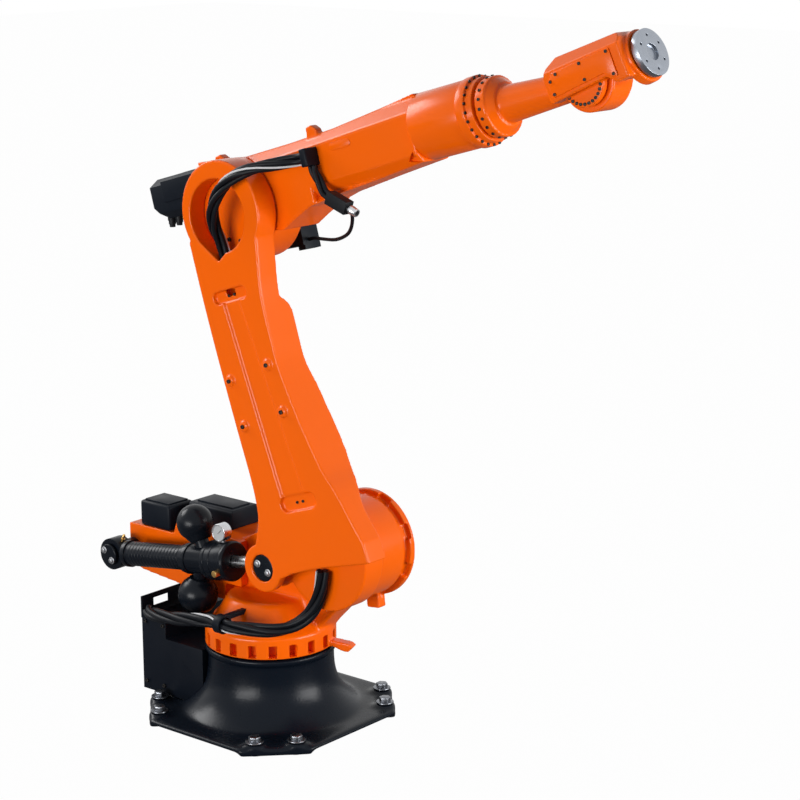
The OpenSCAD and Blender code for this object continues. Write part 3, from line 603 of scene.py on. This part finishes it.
# bands are open rings, so that the rod slides through them
bandRings = {
    "cylinder_bands": {"places": [0.096 + 0.0158 * k for k in range(17)], "radius": 0.0426, "width": 0.0152},
    "gland_bands": {"places": [0.484, 0.512, 0.566], "radius": 0.0675, "width": 0.012},
}
bandWall = {"thick": 0.005, "edge": 0.0016}


def bands(name, settings):
    rings = []
    for place in settings["places"]:
        bpy.ops.mesh.primitive_cylinder_add(vertices=56, radius=settings["radius"], depth=settings["width"],
                                            end_fill_type="NOTHING")
        ring = bpy.context.object
        wall = ring.modifiers.new("wall", "SOLIDIFY")
        wall.thickness = bandWall["thick"]
        bevelEdges(ring, bandWall["edge"], 3)
        ring.data.transform(balanceFrame @ standing((place, 0, 0), (1, 0, 0)))
        rings.append(ring)
    dress(joined(rings, name), "counterbalance", "balance_black")


for name, settings in bandRings.items():
    bands(name, settings)

gauge = {"place": (0.536, -0.018, 0.099), "radius": 0.030, "deep": 0.006, "rim": 0.0042, "sunk": 0.0035,
         "edge": 0.0011, "dialRadius": 0.0254, "dialThick": 0.0012, "dialEdge": 0.0003}
needleSettings = {"place": (0.005, 0.003, 0.0012), "turn": 0.6, "size": (0.022, 0.0018, 0.001),
                  "edge": 0.0003}


def gaugeFace():
    place = balanceFrame @ standing(gauge["place"], near)
    bpy.ops.mesh.primitive_cylinder_add(vertices=48, radius=gauge["radius"], depth=gauge["deep"])
    bezel = bpy.context.object
    selectTop(bezel)
    bpy.ops.mesh.inset(thickness=gauge["rim"])
    bpy.ops.mesh.extrude_region_move(TRANSFORM_OT_translate={"value": (0, 0, -gauge["sunk"])})
    bpy.ops.object.mode_set(mode="OBJECT")
    bevelEdges(bezel, gauge["edge"], 3, sharpest=50)
    bezel.data.transform(place)
    bezel.name = "gauge_bezel"
    dress(bezel, "counterbalance", "steel")
    bpy.ops.mesh.primitive_cylinder_add(vertices=40, radius=gauge["dialRadius"], depth=gauge["dialThick"])
    dial = bpy.context.object
    bpy.ops.object.mode_set(mode="EDIT")
    bpy.ops.mesh.bevel(offset=gauge["dialEdge"], segments=1)
    bpy.ops.object.mode_set(mode="OBJECT")
    dial.data.transform(place)
    dial.name = "gauge_dial"
    dress(dial, "counterbalance", "steel", dialWhite)
    bpy.ops.mesh.primitive_cube_add(size=1)
    needle = bpy.context.object
    turn = Matrix.Rotation(needleSettings["turn"], 4, "Z")
    needle.data.transform(Matrix.Translation(needleSettings["place"]) @ turn
                          @ Matrix.Diagonal((*needleSettings["size"], 1)))
    bevelEdges(needle, needleSettings["edge"], 1)
    needle.data.transform(place)
    needle.name = "gauge_needle"
    dress(needle, "counterbalance", "steel", screwBlack)


gaugeFace()

# arm, wrist and hand
extensionRing = {"along": 1.0075, "radius": 0.1035, "count": 24}
places = [((extensionRing["along"], y, z), (1, 0, 0))
          for y, z in circlePlaces(extensionRing["count"], extensionRing["radius"])]
spread(smallScrew, rollFrame, places, "extension_ring_screws", "arm", "orange_paint", screwBlack)
rollRing = {"along": 1.056, "radius": 0.0918, "count": 20}
places = [((rollRing["along"], y, z), (0, y, z))
          for y, z in circlePlaces(rollRing["count"], rollRing["radius"])]
spread(smallScrew, rollFrame, places, "roll_ring_screws", "wrist", "orange_paint", screwBlack)
elbowScrews = {"face": -0.1055, "radius": 0.098, "count": 12}
places = [((x, elbowScrews["face"], z), near)
          for x, z in circlePlaces(elbowScrews["count"], elbowScrews["radius"])]
spread(midScrew, armFrame, places, "elbow_screws", "arm", "orange_paint", screwBlack)
coverFace = 0.1005
coverScrews = [(-0.083, -0.004), (-0.083, 0.034), (-0.058, 0.047), (0.030, 0.044), (0.030, -0.004),
               (0.128, 0.040), (0.128, -0.026)]
drumScrews = {"radius": 0.064, "face": 0.0735, "count": 11, "start": 205, "sweep": 140}
drumRing = circlePlaces(drumScrews["count"], drumScrews["radius"], math.radians(drumScrews["start"]),
                        math.radians(drumScrews["sweep"]))
handScrews = {"cover": (coverScrews, coverFace), "drum": (drumRing, drumScrews["face"])}
for part, (ring, face) in handScrews.items():
    for sideName, side, facing in [("near", -1, near), ("far", 1, far)]:
        places = [((along, side * face, up), facing) for along, up in ring]
        name = sideName + "_" + part + "_screws"
        spread(smallScrew, handFrame, places, name, "hand", "orange_paint", screwBlack)
discard(floorBolt, smallBolt, midScrew, smallScrew)
print("screws placed")


# lids on the motors
def lid(name, within, centre, size, body):
    bpy.ops.mesh.primitive_cube_add(size=1)
    plate = bpy.context.object
    plate.data.transform(Matrix.Diagonal((*size, 1)))
    bevelEdges(plate, min(size) * 0.3, 3)
    plate.data.transform(within @ Matrix.Translation(Vector(centre)))
    plate.name = name
    dress(plate, body, "motor_black")


lidRise = 0.002
a1Low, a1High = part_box("a1_motor")
a1Lid = (a1Low[0] + 0.073, a1Low[1] + 0.059, a1High[2] + lidRise)
lid("a1_motor_lid", floorFrame, a1Lid, (0.118, 0.092, 0.006), "column")
a2Low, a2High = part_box("a2_motor")
a2Lid = ((a2Low[0] + a2High[0]) / 2, (a2Low[1] + a2High[1]) / 2, a2High[2] + lidRise)
lid("a2_motor_lid", floorFrame, a2Lid, (0.17, 0.084, 0.006), "column")
lid("a4_motor_lid", armFrame, (-0.275, -0.0425, 0.125), (0.2, 0.005, 0.07), "arm")


# the rounded pad on the arm's upper edge
def pill(name, within, centre, size, body, slot):
    bpy.ops.mesh.primitive_cube_add(size=1)
    pad = bpy.context.object
    pad.data.transform(Matrix.Diagonal((*size, 1)))
    bpy.ops.object.mode_set(mode="EDIT")
    bpy.ops.mesh.select_mode(type="EDGE")
    bpy.ops.mesh.select_all(action="DESELECT")
    bpy.ops.object.mode_set(mode="OBJECT")
    for edge in pad.data.edges:
        a, b = (pad.data.vertices[i].co for i in edge.vertices)
        edge.select = abs(a.y - b.y) > size[1] * 0.5
    bpy.ops.object.mode_set(mode="EDIT")
    bpy.ops.mesh.bevel(offset=min(size[0], size[2]) * 0.49, segments=8)
    bpy.ops.object.mode_set(mode="OBJECT")
    bevelEdges(pad, 0.002, 2, sharpest=50)
    pad.data.transform(within @ Matrix.Translation(Vector(centre)))
    pad.name = name
    dress(pad, body, slot)


pill("arm_edge_pad", armFrame, (0.484, -0.068, 0.117), (0.088, 0.036, 0.026), "arm", "orange_paint")


# turned fittings: a stack of rings along one axis, each a height and a radius
def turnedPiece(name, place, profile, body, slot):
    bpy.ops.mesh.primitive_circle_add(vertices=28, radius=profile[0][1], fill_type="NGON")
    piece = bpy.context.object
    bpy.ops.object.mode_set(mode="EDIT")
    bpy.ops.mesh.select_all(action="SELECT")
    for (s0, r0), (s1, r1) in zip(profile, profile[1:]):
        bpy.ops.mesh.extrude_region_move(TRANSFORM_OT_translate={"value": (0, 0, s1 - s0)})
        bpy.ops.transform.resize(value=(r1 / r0, r1 / r0, 1))
    bpy.ops.mesh.select_all(action="SELECT")
    bpy.ops.mesh.normals_make_consistent(inside=False)
    bpy.ops.object.mode_set(mode="OBJECT")
    piece.data.transform(place)
    piece.name = name
    dress(piece, body, slot)


plugSettings = {"place": (0.4185, -0.106, -0.0297), "turn": 35.8}
plugTurn = Matrix.Rotation(math.radians(plugSettings["turn"]), 4, "Y")
plugFrame = armFrame @ Matrix.Translation(plugSettings["place"]) @ plugTurn
turnedPiece("plug_sleeve", plugFrame @ standing((0.091, 0, -0.003), (1, 0, 0)),
            [(0, 0.0134), (0.006, 0.0146), (0.012, 0.0146), (0.014, 0.0134), (0.028, 0.0134), (0.0295, 0.012),
             (0.0296, 0.0085), (0.022, 0.008)], "arm", "steel")
for k, s in enumerate((-0.40, -0.365)):
    turnedPiece("motor_connector_" + str(k), armFrame @ standing((s, 0.0, 0.041), (-0.25, 0, -1)),
                [(0, 0.015), (0.012, 0.015), (0.0125, 0.0125), (0.024, 0.0125), (0.0245, 0.0105),
                 (0.034, 0.0095)],
                "arm", "plug_black")
turnedPiece("motor_connector_ring", armFrame @ standing((-0.341, 0.0, 0.041), (0.1, 0, -1)),
            [(0, 0.008), (0.010, 0.008), (0.0102, 0.0095), (0.018, 0.0095), (0.0185, 0.006), (0.022, 0.006)],
            "arm", "brass")
turnedPiece("grease_nipple", balanceFrame @ standing((0.034, 0.0, 0.041), (0.55, 0, 1)),
            [(0, 0.007), (0.012, 0.007), (0.0122, 0.0045), (0.02, 0.0045), (0.0205, 0.006), (0.027, 0.0045)],
            "counterbalance", "brass")
print("fittings made")

# floor, backdrop and light
floorSettings = {"size": 60, "grey": 0.2, "rough": 0.9, "white": 0.985}


def whiteForCamera(material, strength):
    tree = material.node_tree
    out = tree.nodes["Material Output"]
    shader = tree.nodes["Principled BSDF"]
    glow = tree.nodes.new("ShaderNodeEmission")
    glow.inputs["Color"].default_value = (1, 1, 1, 1)
    glow.inputs["Strength"].default_value = 1
    rays = tree.nodes.new("ShaderNodeLightPath")
    part = tree.nodes.new("ShaderNodeMath")
    part.operation = "MULTIPLY"
    part.inputs[1].default_value = strength
    mix = tree.nodes.new("ShaderNodeMixShader")
    tree.links.new(rays.outputs["Is Camera Ray"], part.inputs[0])
    tree.links.new(part.outputs["Value"], mix.inputs["Fac"])
    tree.links.new(shader.outputs["BSDF"], mix.inputs[1])
    tree.links.new(glow.outputs["Emission"], mix.inputs[2])
    tree.links.new(mix.outputs["Shader"], out.inputs["Surface"])


bpy.ops.mesh.primitive_plane_add(size=floorSettings["size"])
floor = bpy.context.object
floor.name = "floor"
floorPaint = surface("floorPaint", (floorSettings["grey"],) * 3, floorSettings["rough"])
whiteForCamera(floorPaint, floorSettings["white"])
floor.data.materials.append(floorPaint)
world = bpy.data.worlds.new("studio")
scene.world = world
world.use_nodes = True
worldTree = world.node_tree
backdrop = worldTree.nodes["Background"]
backdrop.inputs["Color"].default_value = (1, 1, 1, 1)
skyLevel = {"seen": 1.0, "lighting": 0.2}
rays = worldTree.nodes.new("ShaderNodeLightPath")
seen = rays.outputs["Is Camera Ray"]
for other in ("Is Glossy Ray", "Is Transmission Ray"):
    either = worldTree.nodes.new("ShaderNodeMath")
    either.operation = "MAXIMUM"
    worldTree.links.new(seen, either.inputs[0])
    worldTree.links.new(rays.outputs[other], either.inputs[1])
    seen = either.outputs["Value"]
level = worldTree.nodes.new("ShaderNodeMapRange")
level.inputs["To Min"].default_value = skyLevel["lighting"]
level.inputs["To Max"].default_value = skyLevel["seen"]
worldTree.links.new(seen, level.inputs["Value"])
worldTree.links.new(level.outputs["Result"], backdrop.inputs["Strength"])
lamps = {
    "frontWall": {"place": (0.2, -8.6, 1.2), "size": (5.6, 2.4), "power": 560},
    "leftTop": {"place": (-6.5, -1.4, 5.0), "size": (3.8, 3.2), "power": 330},
    "rightWall": {"place": (7.8, 2.4, 1.8), "size": (5.4, 3.2), "power": 660},
}
lampTarget = Vector((0.4, 0, 1.2))
for name, settings in lamps.items():
    bpy.ops.object.light_add(type="AREA", location=settings["place"])
    lamp = bpy.context.object
    lamp.name = name
    lamp.data.shape = "RECTANGLE"
    lamp.data.size, lamp.data.size_y = settings["size"]
    lamp.data.energy = settings["power"]
    lamp.rotation_euler = (lampTarget - lamp.location).to_track_quat("-Z", "Y").to_euler()
print("stage set")
